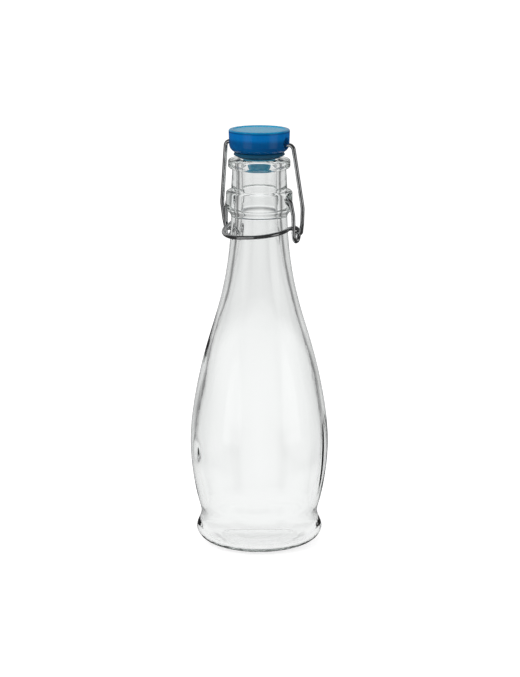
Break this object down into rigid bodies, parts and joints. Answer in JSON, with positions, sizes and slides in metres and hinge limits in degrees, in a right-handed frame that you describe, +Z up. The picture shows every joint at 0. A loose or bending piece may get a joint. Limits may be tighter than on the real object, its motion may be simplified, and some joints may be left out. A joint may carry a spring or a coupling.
{
  "type": "swing top bottle",
  "caption": "Clear glass bottle with a rounded foot and long neck, shut by a plastic stopper with a rubber washer under a wire bail and over-centre lever.",
  "frame": {"origin": "middle of the base, on the surface that the bottle stands on", "axes": "+Z up along the bottle's axis; X along the closure's two pivots; -Y towards the lever's handle"},
  "size_m": [0.0714, 0.0714, 0.2167],
  "materials": {
    "clear_glass": "polished, clear with a faint green-grey tint",
    "blue_plastic": "semi-gloss moulded",
    "dark_rubber": "matt",
    "steel_wire": "bright drawn wire"
  },
  "bodies": {
    "bottle": {"bottle": "clear_glass"},
    "lever": {"lever_wire": "steel_wire"},
    "bail": {"bail_wire": "steel_wire"},
    "stopper": {"stopper": "blue_plastic", "washer": "dark_rubber"}
  },
  "joints": [
    {"name": "lever_swing", "type": "hinge", "parent": "bottle", "child": "lever", "pos_m": [0, 0, 0.1814], "axis": [-1, 0, 0], "range_deg": [0, 88]},
    {"name": "bail_hook", "type": "hinge", "parent": "lever", "child": "bail", "pos_m": [0, 0.0047, 0.1636], "axis": [-1, 0, 0], "range_deg": [-56, 0]},
    {"name": "stopper_tilt", "type": "hinge", "parent": "bail", "child": "stopper", "pos_m": [0, 0, 0.2095], "axis": [-1, 0, 0], "range_deg": [-34, 0]}
  ],
  "couplings": [
    {"joint": "bail_hook", "follows": "lever_swing", "ratio": -0.622},
    {"joint": "stopper_tilt", "follows": "lever_swing", "ratio": -0.378}
  ]
}
